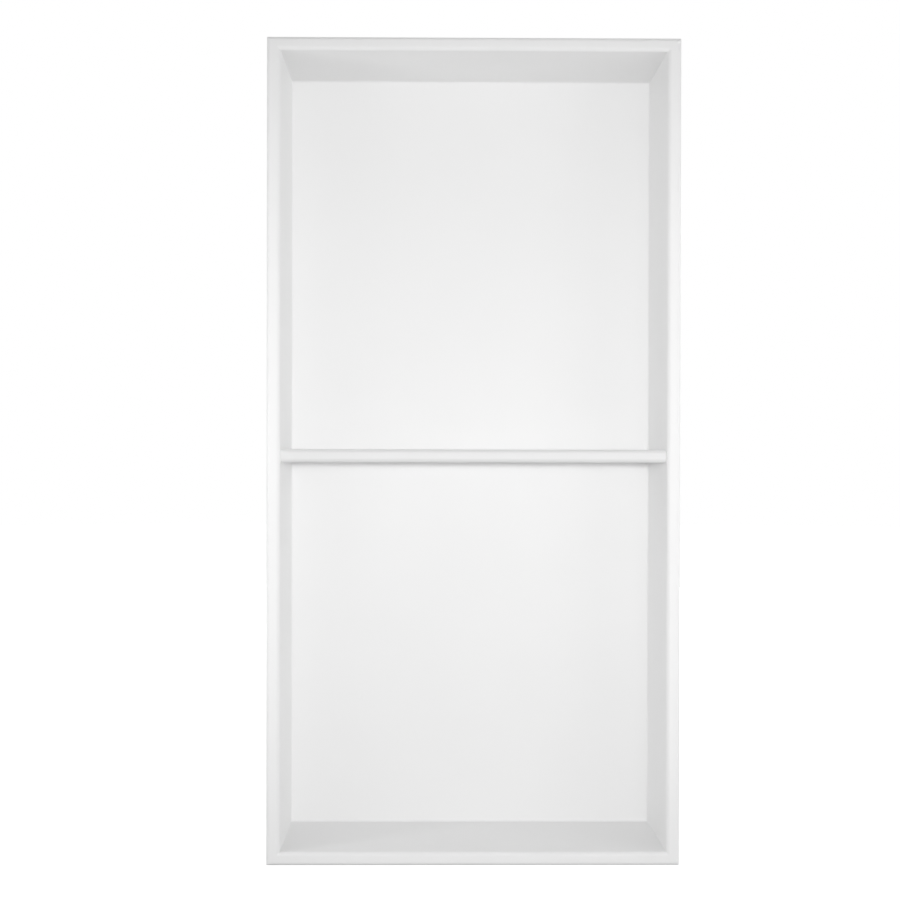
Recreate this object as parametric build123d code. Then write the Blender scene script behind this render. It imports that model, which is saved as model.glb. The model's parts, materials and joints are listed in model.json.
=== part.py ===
from build123d import *
import os

# Shower niche insert: a folded and welded sheet-steel tray with a turned front rim and one fixed shelf.
# The front faces -Y, +X is to the right and +Z is up. The origin is the middle of the opening, in the
# plane of the rim lip's rear edge, which lies on the face of the wall that the niche is set into.

# Driving dimensions, in millimetres
rim_outer_width = 304.8  # across the rim's outer faces
rim_outer_height = 609.6
overall_depth = 101.6  # from the rim's front to the back of the tray
rim_width = 10.0  # from the opening's wall to the rim's outer face
lip_depth = 10.0  # how far the rim stands off the wall
sheet_thickness = 1.2
bend_inside_radius = 1.8  # at every fold; the seams between the walls are sharp
shelf_lip_height = 9.5  # from the shelf's top to the underside of its return
shelf_top_above_middle = 2.0  # from the middle of the opening up to the shelf's top
shelf_setback = 6.0  # from the rim's front back to the shelf's front
shelf_return_depth = 16.0  # how far the shelf's lip is folded back underneath
shelf_corner_clearance = 0.5  # more rounding on the shelf's rear corners than in the tray's

# Sizes and places that follow
bend_outside_radius = bend_inside_radius + sheet_thickness
opening_width = rim_outer_width - 2 * rim_width
opening_height = rim_outer_height - 2 * rim_width
tray_outer_width = opening_width + 2 * sheet_thickness
tray_outer_height = opening_height + 2 * sheet_thickness
channel_width = rim_outer_width - 2 * sheet_thickness
channel_height = rim_outer_height - 2 * sheet_thickness
wall_face = 0.0
rim_front = wall_face - lip_depth
rim_back = rim_front + sheet_thickness
tray_back = rim_front + overall_depth
panel_front = tray_back - sheet_thickness

# The two ends of a block, in order along Y
front_end = 0
back_end = -1


def folded(width, height, front, back, end, radius):
    """One side of a folded sheet: a block whose edges round one end are bends that meet at welded seams."""
    form = Pos(0, (front + back) / 2, 0) * Box(width, back - front, height)
    end_face = form.faces().sort_by(Axis.Y)[end]
    return fillet(end_face.edges(), radius)


def bend_front_opening(form, radius):
    """Round the edge of the hole in a form's front face, as a fold that turns outwards there."""
    front_face = form.faces().sort_by(Axis.Y)[0]
    return fillet(front_face.inner_wires()[0].edges(), radius)


def make_niche_body():
    """The tray, its rim and the rim's lip: one sheet of even thickness, with its corners welded shut."""
    tray = folded(tray_outer_width, tray_outer_height, rim_front, tray_back, back_end, bend_outside_radius)
    rim = folded(rim_outer_width, rim_outer_height, rim_front, wall_face, front_end, bend_outside_radius)
    hollow = folded(opening_width, opening_height, rim_front, panel_front, back_end, bend_inside_radius)
    channel = folded(channel_width, channel_height, rim_back, wall_face, front_end, bend_inside_radius)
    channel = bend_front_opening(channel - tray, bend_inside_radius)
    body = tray + rim - hollow - channel
    return bend_front_opening(body, bend_outside_radius)


def make_shelf():
    """One sheet across the opening: a flat top, a lip folded down and a return folded back under it."""
    half_sheet = sheet_thickness / 2
    middle_front = rim_front + shelf_setback + half_sheet
    middle_top = shelf_top_above_middle - half_sheet
    middle_bottom = shelf_top_above_middle - shelf_lip_height + half_sheet
    return_end = rim_front + shelf_setback + shelf_return_depth
    middle_line = FilletPolyline(
        (panel_front, middle_top),
        (middle_front, middle_top),
        (middle_front, middle_bottom),
        (return_end, middle_bottom),
        radius=bend_inside_radius + half_sheet,
    )
    section = trace(middle_line, sheet_thickness)
    shelf = extrude(Plane.YZ * section, opening_width / 2, both=True)
    back_corners = shelf.edges().filter_by(Axis.Z).group_by(Axis.Y)[-1]
    return fillet(back_corners, bend_inside_radius + shelf_corner_clearance)


def main():
    """Write one file for each piece."""
    os.makedirs("parts", exist_ok=True)
    pieces = {"niche_body": make_niche_body(), "shelf": make_shelf()}
    for name, piece in pieces.items():
        export_step(piece, f"parts/{name}.step")


if __name__ == "__main__":
    main()
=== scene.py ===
"""A white powder-coated shower niche: folded sheet body, welded-in shelf, and a plain studio."""
import json
import math

import bmesh
import bpy
from bpy.props import FloatProperty, FloatVectorProperty, IntProperty, PointerProperty
from mathutils import Euler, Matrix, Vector


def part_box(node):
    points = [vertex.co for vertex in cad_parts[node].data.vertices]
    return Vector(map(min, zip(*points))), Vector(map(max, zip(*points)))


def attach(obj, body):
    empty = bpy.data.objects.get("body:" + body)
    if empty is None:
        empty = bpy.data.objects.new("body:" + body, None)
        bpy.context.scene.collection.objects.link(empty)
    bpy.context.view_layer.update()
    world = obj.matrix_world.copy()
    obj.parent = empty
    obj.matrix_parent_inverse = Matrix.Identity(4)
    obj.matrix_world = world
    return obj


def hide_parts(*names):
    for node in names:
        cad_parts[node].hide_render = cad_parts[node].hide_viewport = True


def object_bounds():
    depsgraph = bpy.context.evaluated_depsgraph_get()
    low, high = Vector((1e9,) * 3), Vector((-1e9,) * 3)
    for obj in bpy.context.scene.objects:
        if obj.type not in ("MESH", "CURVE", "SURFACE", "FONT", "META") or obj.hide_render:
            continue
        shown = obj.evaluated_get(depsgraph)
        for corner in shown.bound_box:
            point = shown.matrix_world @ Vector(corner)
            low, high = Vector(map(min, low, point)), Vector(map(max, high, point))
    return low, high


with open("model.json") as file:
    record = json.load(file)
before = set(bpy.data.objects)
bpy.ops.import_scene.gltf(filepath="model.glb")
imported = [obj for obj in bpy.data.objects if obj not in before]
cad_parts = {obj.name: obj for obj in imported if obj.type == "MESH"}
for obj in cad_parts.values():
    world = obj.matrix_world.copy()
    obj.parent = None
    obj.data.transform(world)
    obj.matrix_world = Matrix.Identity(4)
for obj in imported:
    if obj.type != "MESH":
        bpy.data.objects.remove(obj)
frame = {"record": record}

bl_info = {
    "name": "Shower niche insert",
    "version": (1, 0, 0),
    "blender": (4, 5, 0),
    "location": "3D View > Sidebar > Niche",
    "description": "Builds a folded, welded and powder-coated niche with a shelf, on a studio floor",
    "category": "Add Mesh",
}

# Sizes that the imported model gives, in metres: the front faces -Y and the wall's face is at Y = 0
CAD_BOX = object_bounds()
BODY_LOW, BODY_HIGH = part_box("niche_body")
SHELF_LOW, SHELF_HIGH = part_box("shelf")
WALL_FACE = frame["record"]["mounts"][0]["pos_m"][1]

# Names that are used in more than one place
COAT_MATERIAL = "white powder coat"
SHELF_PIECE = "shelf_sheet"

# Fixed choices of the meshes
QUARTER_TURN = math.pi / 2
WELD_DISTANCE = 1e-7  # points closer than this, in metres, become one
FLAT_FACE_WEIGHT = 100  # the largest face at a point sets its normal
FLOOR_SIDES = 96

# Fixed choices of the finishes
NOISE_LOW = 0.35  # most of a noise's values lie between these two
NOISE_HIGH = 0.65
TONE_DETAIL = 3.0  # how many finer layers each noise has
GLOSS_DETAIL = 4.0
PEEL_DETAIL = 1.0
GRAIN_DETAIL = 2.0
FLOOR_ROUGHNESS = 0.9
FLOOR_GLOSS = 0.1
WHITE = (1.0, 1.0, 1.0, 1.0)

# The camera's response: the curve that acts on all three colours, and where it gets points
ALL_COLOURS_CURVE = 3
RESPONSE_LEVELS = (0.25, 0.5, 0.75)

# Where the lights stand and how large they are, in metres; a pair's place is that of its right light,
# and the strips have no height here because they take it from the shelf
NICHE_MIDDLE = (0.0, 0.0, 0.0)
SPOT_PLACE = (0.12, -2.0, 0.075)
SPOT_TARGET = (0.03, SHELF_HIGH[1], 0.0)
FAR_PLACE = (0.20, -4.0, SHELF_LOW[2])
FAR_SIZE = (1.0, 0.18)
NEAR_PLACE = (0.50, -0.55)
NEAR_SIZE = (0.3, 0.03)
GRAZING_PLACE = (0.50, -0.24)
GRAZING_SIZE = (0.1, 0.03)
SIDE_PLACE = (2.1, -1.05)
SIDE_SIZE = (1.0, 0.1)
EDGE_PLACE = (2.0, -0.12, 0.0)
EDGE_SIZE = (0.4, 1.2)
TOP_PLACE = (0.0, 0.5, 1.8)
TOP_SIZE = (1.2, 0.6)
BACK_PLACE = (0.8, 2.4, 0.2)
BACK_SIZE = (1.6, 1.2)


class SheetSettings(bpy.types.PropertyGroup):
    """The folded sheet that the body and the shelf are made of."""

    thickness: FloatProperty(
        name="Sheet thickness",
        description="Thickness of the coated sheet",
        default=BODY_HIGH[1] - SHELF_HIGH[1],
        unit="LENGTH",
    )
    rim_width: FloatProperty(
        name="Rim width",
        description="From the opening's wall to the rim's outer face",
        default=SHELF_LOW[0] - BODY_LOW[0],
        unit="LENGTH",
    )
    bend_radius: FloatProperty(
        name="Inside bend radius",
        description="Radius on the inside of each fold",
        default=0.0018,
        unit="LENGTH",
    )
    seam_radius: FloatProperty(
        name="Seam rounding",
        description="Rounding of the ground and coated seams at the corners",
        default=0.0005,
        unit="LENGTH",
    )
    edge_radius: FloatProperty(
        name="Cut edge rounding",
        description="Rounding that the coat gives the sheet's cut edges",
        default=0.0003,
        unit="LENGTH",
    )
    bend_steps: IntProperty(
        name="Bend steps",
        description="Faces across each fold",
        default=10,
        min=2,
    )
    edge_steps: IntProperty(
        name="Edge steps",
        description="Faces across each rounded seam and cut edge",
        default=3,
        min=1,
    )


class ShelfSettings(bpy.types.PropertyGroup):
    """What the shelf's box doesn't give."""

    return_depth: FloatProperty(
        name="Return depth",
        description="How far the lip is folded back under the shelf",
        default=0.016,
        unit="LENGTH",
    )
    back_corner: FloatProperty(
        name="Back corner radius",
        description="Rounding of the shelf's back corners, which clear the tray's bends",
        default=0.0023,
        unit="LENGTH",
    )


class CoatSettings(bpy.types.PropertyGroup):
    """The powder coat."""

    light_white: FloatVectorProperty(
        name="Light white",
        description="Colour where the coat lies thickest",
        default=(0.865, 0.865, 0.865),
        size=3,
        subtype="COLOR",
    )
    dark_white: FloatVectorProperty(
        name="Dark white",
        description="Colour where the coat lies thinnest",
        default=(0.855, 0.855, 0.855),
        size=3,
        subtype="COLOR",
    )
    tone_size: FloatProperty(
        name="Tone patch size",
        description="Width of the patches in which the coat's colour varies",
        default=0.06,
        unit="LENGTH",
    )
    smooth_roughness: FloatProperty(
        name="Least roughness",
        description="Roughness on the coat's smoothest patches",
        default=0.42,
        subtype="FACTOR",
    )
    rough_roughness: FloatProperty(
        name="Most roughness",
        description="Roughness on the coat's dullest patches",
        default=0.46,
        subtype="FACTOR",
    )
    gloss_size: FloatProperty(
        name="Gloss patch size",
        description="Width of the patches in which the coat's roughness varies",
        default=0.012,
        unit="LENGTH",
    )
    peel_size: FloatProperty(
        name="Orange peel size",
        description="Width of the coat's shallow dimples",
        default=0.0022,
        unit="LENGTH",
    )
    peel_height: FloatProperty(
        name="Orange peel height",
        description="Height of the coat's shallow dimples",
        default=0.00002,
        unit="LENGTH",
    )
    grain_size: FloatProperty(
        name="Grain size",
        description="Width of the fine grain on the coat",
        default=0.0004,
        unit="LENGTH",
    )
    grain_height: FloatProperty(
        name="Grain height",
        description="Height of the fine grain on the coat",
        default=0.000003,
        unit="LENGTH",
    )


class StudioSettings(bpy.types.PropertyGroup):
    """Floor, lights and camera; a pair of powers is that of the left and the right light."""

    floor_colour: FloatVectorProperty(
        name="Floor colour",
        description="Colour of the plain floor",
        default=(0.5, 0.5, 0.5),
        size=3,
        subtype="COLOR",
    )
    floor_radius: FloatProperty(
        name="Floor radius",
        description="Radius of the round floor",
        default=6.0,
        unit="LENGTH",
    )
    floor_glow: FloatProperty(
        name="Floor glow",
        description="Light that the overlit floor adds close to the niche, as the camera sees it",
        default=0.9,
    )
    glow_start: FloatProperty(
        name="Floor glow start",
        description="Distance from the niche at which the floor starts to run out to white",
        default=0.3,
        unit="LENGTH",
    )
    glow_end: FloatProperty(
        name="Floor glow end",
        description="Distance from the niche at which the floor is as white as the backdrop",
        default=1.2,
        unit="LENGTH",
    )
    backdrop: FloatProperty(
        name="Backdrop",
        description="Brightness of the white backdrop behind the niche",
        default=1.0,
    )
    ambient: FloatProperty(
        name="Ambient light",
        description="Brightness of the light that comes from all round",
        default=0.19,
    )
    spot_power: FloatProperty(
        name="Spot",
        description="Power of the soft spot behind the camera",
        default=50.8,
        unit="POWER",
    )
    spot_reach: FloatProperty(
        name="Spot reach",
        description="Distance from the spot's target at which its soft edge ends",
        default=0.5,
        unit="LENGTH",
    )
    spot_radius: FloatProperty(
        name="Spot radius",
        description="Radius of the spot's lamp, which softens its shadows",
        default=0.045,
        unit="LENGTH",
    )
    far_power: FloatProperty(
        name="Far light",
        description="Power of the light well behind the camera",
        default=16.6,
        unit="POWER",
    )
    near_powers: FloatVectorProperty(
        name="Near lights",
        description="Powers of the strip lights in front of the niche",
        default=(0.52, 0.59),
        size=2,
        unit="POWER",
    )
    grazing_powers: FloatVectorProperty(
        name="Grazing lights",
        description="Powers of the strip lights that graze the rim",
        default=(0.56, 0.237),
        size=2,
        unit="POWER",
    )
    side_powers: FloatVectorProperty(
        name="Side lights",
        description="Powers of the strip lights further out",
        default=(0.9, 6.7),
        size=2,
        unit="POWER",
    )
    edge_powers: FloatVectorProperty(
        name="Edge lights",
        description="Powers of the softboxes that light the rim's outer edges",
        default=(4.2, 3.6),
        size=2,
        unit="POWER",
    )
    top_power: FloatProperty(
        name="Top light",
        description="Power of the softbox over the niche, behind the plane of its front",
        default=4.8,
        unit="POWER",
    )
    back_power: FloatProperty(
        name="Back light",
        description="Power of the softbox behind the niche",
        default=32.0,
        unit="POWER",
    )
    shoulder: FloatProperty(
        name="Tone shoulder",
        description="How softly the camera's response bends over towards white",
        default=0.7,
        min=0.0,
    )
    camera_place: FloatVectorProperty(
        name="Camera place",
        description="Where the camera stands",
        default=(-0.0329, -1.2027, -0.0026),
        size=3,
        subtype="TRANSLATION",
    )
    camera_turn: FloatVectorProperty(
        name="Camera turn",
        description="Pitch, roll and yaw away from a level view along +Y",
        default=(math.radians(-0.436), math.radians(-0.109), math.radians(-0.58)),
        size=3,
        subtype="EULER",
    )
    lens: FloatProperty(
        name="Lens",
        description="Focal length in millimetres",
        default=64.9,
        subtype="DISTANCE_CAMERA",
    )
    shift: FloatVectorProperty(
        name="Lens shift",
        description="Sideways and upward shift, in shares of the frame",
        default=(0.0051, 0.02),
        size=2,
    )


def arc(centre, radius, start, turns, steps):
    """Points on an arc round a centre; start and turns are in quarter turns from the first axis."""
    angles = [QUARTER_TURN * (start + turns * step / steps) for step in range(steps + 1)]
    return [(centre[0] + radius * math.cos(a), centre[1] + radius * math.sin(a)) for a in angles]


def rounded_ring(half_width, half_height, corner, y, steps):
    """Points round a rectangle that stands across Y, with rounded corners."""
    ring = []
    for quarter, (side, level) in enumerate(((1, 1), (-1, 1), (-1, -1), (1, -1))):
        centre = (side * (half_width - corner), level * (half_height - corner))
        ring += [(x, y, z) for x, z in arc(centre, corner, start=quarter, turns=1, steps=steps)]
    return ring


def skin_loops(loops):
    """A mesh that joins each loop of points to the next, with its two ends filled."""
    mesh = bmesh.new()
    rows = [[mesh.verts.new(point) for point in loop] for loop in loops]
    for row, following in zip(rows, rows[1:]):
        for index in range(len(row)):
            after = (index + 1) % len(row)
            mesh.faces.new((row[index], row[after], following[after], following[index]))
    bmesh.ops.remove_doubles(mesh, verts=mesh.verts, dist=WELD_DISTANCE)
    bmesh.ops.holes_fill(mesh, edges=[edge for edge in mesh.edges if edge.is_boundary], sides=0)
    bmesh.ops.recalc_face_normals(mesh, faces=mesh.faces)
    return mesh


def add_piece(name, mesh, material):
    """Put a finished mesh in the scene as a smooth-shaded piece of the niche."""
    data = bpy.data.meshes.new(name)
    mesh.to_mesh(data)
    mesh.free()
    data.shade_smooth()
    data.materials.append(material)
    piece = bpy.data.objects.new(name, data)
    bpy.context.scene.collection.objects.link(piece)
    normals = piece.modifiers.new("Flat faces stay flat", "WEIGHTED_NORMAL")
    normals.weight = FLAT_FACE_WEIGHT
    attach(piece, "root")
    return piece


def body_section(sheet):
    """The body's sheet from the panel's front, out over the rim and back to the panel's rear.

    Each entry is the distance outside the opening's wall and the place along Y.
    """
    inside = sheet.bend_radius
    outside = inside + sheet.thickness
    rim = sheet.rim_width
    edge = sheet.edge_radius
    steps = sheet.bend_steps
    panel_bend = (-inside, SHELF_HIGH[1] - inside)
    mouth_bend = (outside, BODY_LOW[1] + outside)
    rim_bend = (rim - outside, BODY_LOW[1] + outside)
    lip_outer_edge = (rim - edge, WALL_FACE - edge)
    lip_inner_edge = (rim - sheet.thickness + edge, WALL_FACE - edge)
    section = arc(panel_bend, inside, start=1, turns=-1, steps=steps)
    section += arc(mouth_bend, outside, start=2, turns=1, steps=steps)
    section += arc(rim_bend, outside, start=3, turns=1, steps=steps)
    section += arc(lip_outer_edge, edge, start=0, turns=1, steps=sheet.edge_steps)
    section += arc(lip_inner_edge, edge, start=1, turns=1, steps=sheet.edge_steps)
    section += arc(rim_bend, inside, start=4, turns=-1, steps=steps)
    section += arc(mouth_bend, inside, start=3, turns=-1, steps=steps)
    section += arc(panel_bend, outside, start=0, turns=1, steps=steps)
    return section


class NICHE_OT_body(bpy.types.Operator):
    """Fold the tray, its rim and the rim's lip from one sheet"""

    bl_idname = "niche.body"
    bl_label = "Niche body"

    def execute(self, context):
        sheet = context.scene.niche_sheet
        half_width = BODY_HIGH[0] - sheet.rim_width
        half_height = BODY_HIGH[2] - sheet.rim_width
        loops = [
            rounded_ring(half_width + out, half_height + out, sheet.seam_radius, y, sheet.edge_steps)
            for out, y in body_section(sheet)
        ]
        piece = add_piece("niche_shell", skin_loops(loops), powder_coat(context.scene.niche_coat))
        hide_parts("niche_body")
        return {"FINISHED"}


def shelf_loop(sheet, shelf, x):
    """The shelf's section at x, as points round the sheet's cut end."""
    inside = sheet.bend_radius
    outside = inside + sheet.thickness
    steps = sheet.bend_steps
    edge = sheet.edge_radius
    top_bend = (SHELF_LOW[1] + outside, SHELF_HIGH[2] - outside)
    low_bend = (SHELF_LOW[1] + outside, SHELF_LOW[2] + outside)
    return_end = SHELF_LOW[1] + shelf.return_depth
    return_low_edge = (return_end - edge, SHELF_LOW[2] + edge)
    return_high_edge = (return_end - edge, SHELF_LOW[2] + sheet.thickness - edge)
    past_corner = max(0.0, abs(x) - (SHELF_HIGH[0] - shelf.back_corner))
    corner_reach = math.sqrt(max(0.0, shelf.back_corner**2 - past_corner**2))
    back = SHELF_HIGH[1] - shelf.back_corner + corner_reach
    outline = [(back, SHELF_HIGH[2])]
    outline += arc(top_bend, outside, start=1, turns=1, steps=steps)
    outline += arc(low_bend, outside, start=2, turns=1, steps=steps)
    outline += arc(return_low_edge, edge, start=3, turns=1, steps=sheet.edge_steps)
    outline += arc(return_high_edge, edge, start=0, turns=1, steps=sheet.edge_steps)
    outline += arc(low_bend, inside, start=3, turns=-1, steps=steps)
    outline += arc(top_bend, inside, start=2, turns=-1, steps=steps)
    outline += [(back, SHELF_HIGH[2] - sheet.thickness)]
    return [(x, y, z) for y, z in outline]


class NICHE_OT_shelf(bpy.types.Operator):
    """Fold the shelf that is welded in across the opening"""

    bl_idname = "niche.shelf"
    bl_label = "Shelf"

    def execute(self, context):
        sheet = context.scene.niche_sheet
        shelf = context.scene.niche_shelf
        corner_start = SHELF_HIGH[0] - shelf.back_corner
        corner = arc((corner_start, 0.0), shelf.back_corner, start=1, turns=-1, steps=sheet.bend_steps)
        right_end = [point[0] for point in corner]
        places = [-x for x in reversed(right_end)] + right_end
        loops = [shelf_loop(sheet, shelf, x) for x in places]
        piece = add_piece(SHELF_PIECE, skin_loops(loops), powder_coat(context.scene.niche_coat))
        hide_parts("shelf")
        return {"FINISHED"}


def add_noise(tree, place, size, detail):
    """A noise in patches of a given size, in metres, that is fixed to the piece; gives its value."""
    texture = tree.nodes.new("ShaderNodeTexNoise")
    texture.inputs["Scale"].default_value = 1.0 / size
    texture.inputs["Detail"].default_value = detail
    tree.links.new(place, texture.inputs["Vector"])
    return texture.outputs["Fac"]


def add_bump(tree, relief, height):
    """A bump of a given height, in metres, that follows a relief."""
    bump = tree.nodes.new("ShaderNodeBump")
    bump.inputs["Distance"].default_value = height
    tree.links.new(relief, bump.inputs["Height"])
    return bump


def make_powder_coat(coat):
    """The white coat: fine grain over shallow orange peel, a little uneven in tone and gloss."""
    material = bpy.data.materials.new(COAT_MATERIAL)
    material.use_nodes = True
    tree = material.node_tree
    link = tree.links.new
    shader = tree.nodes["Principled BSDF"]
    place = tree.nodes.new("ShaderNodeTexCoord").outputs["Object"]
    tone = tree.nodes.new("ShaderNodeValToRGB")
    dark, light = tone.color_ramp.elements
    dark.position = NOISE_LOW
    dark.color = (*coat.dark_white, 1.0)
    light.position = NOISE_HIGH
    light.color = (*coat.light_white, 1.0)
    link(add_noise(tree, place, coat.tone_size, TONE_DETAIL), tone.inputs["Fac"])
    link(tone.outputs["Color"], shader.inputs["Base Color"])
    gloss = tree.nodes.new("ShaderNodeMapRange")
    gloss.inputs["From Min"].default_value = NOISE_LOW
    gloss.inputs["From Max"].default_value = NOISE_HIGH
    gloss.inputs["To Min"].default_value = coat.smooth_roughness
    gloss.inputs["To Max"].default_value = coat.rough_roughness
    link(add_noise(tree, place, coat.gloss_size, GLOSS_DETAIL), gloss.inputs["Value"])
    link(gloss.outputs["Result"], shader.inputs["Roughness"])
    peel = add_bump(tree, add_noise(tree, place, coat.peel_size, PEEL_DETAIL), coat.peel_height)
    grain = add_bump(tree, add_noise(tree, place, coat.grain_size, GRAIN_DETAIL), coat.grain_height)
    link(peel.outputs["Normal"], grain.inputs["Normal"])
    link(grain.outputs["Normal"], shader.inputs["Normal"])
    return material


def powder_coat(coat):
    """The coat that both pieces share, made when it is first asked for."""
    return bpy.data.materials.get(COAT_MATERIAL) or make_powder_coat(coat)


def camera_only_mix(tree, plain, seen, output):
    """Show one shader to the camera and light the scene with another."""
    path = tree.nodes.new("ShaderNodeLightPath")
    mix = tree.nodes.new("ShaderNodeMixShader")
    tree.links.new(path.outputs["Is Camera Ray"], mix.inputs["Fac"])
    tree.links.new(plain, mix.inputs[1])
    tree.links.new(seen, mix.inputs[2])
    tree.links.new(mix.outputs["Shader"], output)


def floor_material(studio):
    """A pale floor that is lit up to the backdrop's white."""
    material = bpy.data.materials.new("pale floor")
    material.use_nodes = True
    tree = material.node_tree
    shader = tree.nodes["Principled BSDF"]
    shader.inputs["Base Color"].default_value = (*studio.floor_colour, 1.0)
    shader.inputs["Roughness"].default_value = FLOOR_ROUGHNESS
    shader.inputs["Specular IOR Level"].default_value = FLOOR_GLOSS
    place = tree.nodes.new("ShaderNodeTexCoord")
    distance = tree.nodes.new("ShaderNodeVectorMath")
    distance.operation = "LENGTH"
    tree.links.new(place.outputs["Object"], distance.inputs[0])
    run_out = tree.nodes.new("ShaderNodeMapRange")
    run_out.inputs["From Min"].default_value = studio.glow_start
    run_out.inputs["From Max"].default_value = studio.glow_end
    run_out.inputs["To Min"].default_value = studio.floor_glow
    run_out.inputs["To Max"].default_value = studio.backdrop
    tree.links.new(distance.outputs["Value"], run_out.inputs["Value"])
    glow = tree.nodes.new("ShaderNodeEmission")
    tree.links.new(run_out.outputs["Result"], glow.inputs["Strength"])
    lit = tree.nodes.new("ShaderNodeAddShader")
    tree.links.new(shader.outputs["BSDF"], lit.inputs[0])
    tree.links.new(glow.outputs["Emission"], lit.inputs[1])
    surface = tree.nodes["Material Output"].inputs["Surface"]
    camera_only_mix(tree, shader.outputs["BSDF"], lit.outputs["Shader"], surface)
    return material


def add_floor(studio):
    """A round floor under the niche."""
    mesh = bmesh.new()
    bmesh.ops.create_circle(mesh, cap_ends=True, segments=FLOOR_SIDES, radius=studio.floor_radius)
    data = bpy.data.meshes.new("studio_floor")
    mesh.to_mesh(data)
    mesh.free()
    data.materials.append(floor_material(studio))
    floor = bpy.data.objects.new("studio_floor", data)
    floor.location.z = CAD_BOX[0][2]
    bpy.context.scene.collection.objects.link(floor)


def add_light(name, light, place, target):
    """Put a light, which the camera doesn't see, at a place so that it faces a target."""
    lamp = bpy.data.objects.new(name, light)
    lamp.visible_camera = False
    lamp.location = place
    lamp.rotation_euler = (Vector(target) - Vector(place)).to_track_quat("-Z", "Y").to_euler()
    bpy.context.scene.collection.objects.link(lamp)
    return lamp


def add_spot(name, place, target, studio):
    """A round spot whose light falls off softly from the target outwards."""
    light = bpy.data.lights.new(name, "SPOT")
    light.energy = studio.spot_power
    light.spot_size = 2.0 * math.atan(studio.spot_reach / math.dist(place, target))
    light.spot_blend = 1.0
    light.shadow_soft_size = studio.spot_radius
    add_light(name, light, place, target)


def add_softbox(name, place, size, power):
    """A rectangular light that faces the middle of the niche."""
    light = bpy.data.lights.new(name, "AREA")
    light.shape = "RECTANGLE"
    light.size, light.size_y = size
    light.energy = power
    return add_light(name, light, place, NICHE_MIDDLE)


def add_pair(name, place, size, powers):
    """Two like softboxes, one on each side of the niche."""
    x, y, z = place
    left_power, right_power = powers
    return [
        add_softbox(name + "_left_light", (-x, y, z), size, left_power),
        add_softbox(name + "_right_light", (x, y, z), size, right_power),
    ]


def add_strip_pair(name, place, size, powers):
    """Two low lights whose lower edges are level with the shelf's underside, so its shadow is thin."""
    return add_pair(name, (*place, SHELF_LOW[2] + size[1] / 2), size, powers)


def keep_off_shelf(lamp):
    """Shade the shelf from a light that is there for the rim, as a flag before the light does."""
    shaded = bpy.data.collections.new(lamp.name + "_shade")
    shaded.objects.link(bpy.data.objects[SHELF_PIECE])
    shaded.collection_objects[0].light_linking.link_state = "EXCLUDE"
    lamp.light_linking.receiver_collection = shaded


def set_world(scene, studio):
    """A white backdrop with a dimmer light from all round."""
    world = bpy.data.worlds.new("studio")
    scene.world = world
    world.use_nodes = True
    tree = world.node_tree
    ambient = tree.nodes["Background"]
    ambient.inputs["Color"].default_value = WHITE
    ambient.inputs["Strength"].default_value = studio.ambient
    backdrop = tree.nodes.new("ShaderNodeBackground")
    backdrop.inputs["Color"].default_value = WHITE
    backdrop.inputs["Strength"].default_value = studio.backdrop
    surface = tree.nodes["World Output"].inputs["Surface"]
    camera_only_mix(tree, ambient.outputs["Background"], backdrop.outputs["Background"], surface)


def add_camera(scene, studio):
    """A camera at the photograph's viewing angle."""
    data = bpy.data.cameras.new("camera")
    data.lens = studio.lens
    data.shift_x, data.shift_y = studio.shift
    camera = bpy.data.objects.new("camera", data)
    camera.location = studio.camera_place
    pitch, roll, yaw = studio.camera_turn
    camera.rotation_euler = Euler((QUARTER_TURN + pitch, roll, yaw), "XYZ")
    scene.collection.objects.link(camera)
    scene.camera = camera


def set_response(scene, studio):
    """A camera response that bends over softly towards white."""
    settings = scene.view_settings
    settings.view_transform = "Standard"
    settings.use_curve_mapping = True
    curve = settings.curve_mapping.curves[ALL_COLOURS_CURVE]
    bend = studio.shoulder
    for level in RESPONSE_LEVELS:
        curve.points.new(level, (1.0 + bend) * level / (1.0 + bend * level))
    settings.curve_mapping.update()


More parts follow.
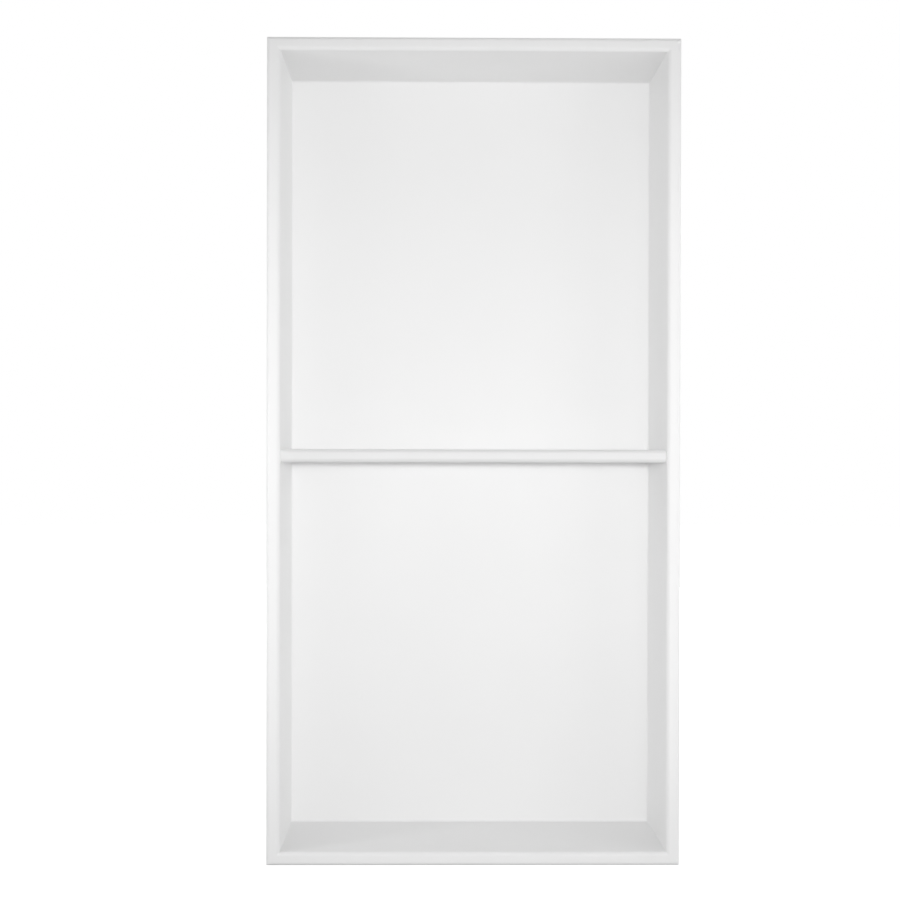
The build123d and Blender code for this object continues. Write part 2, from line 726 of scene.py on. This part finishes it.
class NICHE_OT_stage(bpy.types.Operator):
    """Set the floor, the lights, the backdrop and the camera"""

    bl_idname = "niche.stage"
    bl_label = "Stage"

    def execute(self, context):
        scene = context.scene
        studio = scene.niche_studio
        add_floor(studio)
        add_spot("spot", SPOT_PLACE, SPOT_TARGET, studio)
        add_softbox("far_light", FAR_PLACE, FAR_SIZE, studio.far_power)
        add_strip_pair("near", NEAR_PLACE, NEAR_SIZE, studio.near_powers)
        rim_lights = add_strip_pair("grazing", GRAZING_PLACE, GRAZING_SIZE, studio.grazing_powers)
        rim_lights += add_strip_pair("side", SIDE_PLACE, SIDE_SIZE, studio.side_powers)
        for lamp in rim_lights:
            keep_off_shelf(lamp)
        add_pair("edge", EDGE_PLACE, EDGE_SIZE, studio.edge_powers)
        add_softbox("top_light", TOP_PLACE, TOP_SIZE, studio.top_power)
        add_softbox("back_light", BACK_PLACE, BACK_SIZE, studio.back_power)
        set_world(scene, studio)
        add_camera(scene, studio)
        set_response(scene, studio)
        return {"FINISHED"}


class NICHE_PT_panel(bpy.types.Panel):
    """Lists the settings, and the steps that build the niche and its stage"""

    bl_idname = "NICHE_PT_panel"
    bl_label = "Shower niche"
    bl_space_type = "VIEW_3D"
    bl_region_type = "UI"
    bl_category = "Niche"

    def draw(self, context):
        for name, group in SETTINGS.items():
            box = self.layout.box()
            for setting in group.__annotations__:
                box.prop(getattr(context.scene, name), setting)
        for operator in OPERATORS:
            self.layout.operator(operator.bl_idname)


SETTINGS = {
    "niche_sheet": SheetSettings,
    "niche_shelf": ShelfSettings,
    "niche_coat": CoatSettings,
    "niche_studio": StudioSettings,
}
OPERATORS = (NICHE_OT_body, NICHE_OT_shelf, NICHE_OT_stage)


def register():
    """Make the settings, the operators and the panel known to Blender."""
    for name, group in SETTINGS.items():
        bpy.utils.register_class(group)
        setattr(bpy.types.Scene, name, PointerProperty(type=group))
    for operator in OPERATORS:
        bpy.utils.register_class(operator)
    bpy.utils.register_class(NICHE_PT_panel)


def unregister():
    """Take back what register made known."""
    bpy.utils.unregister_class(NICHE_PT_panel)
    for operator in reversed(OPERATORS):
        bpy.utils.unregister_class(operator)
    for name, group in reversed(SETTINGS.items()):
        delattr(bpy.types.Scene, name)
        bpy.utils.unregister_class(group)


def main():
    """Build the niche and its stage."""
    register()
    bpy.ops.niche.body()
    bpy.ops.niche.shelf()
    bpy.ops.niche.stage()


if __name__ == "__main__":
    main()
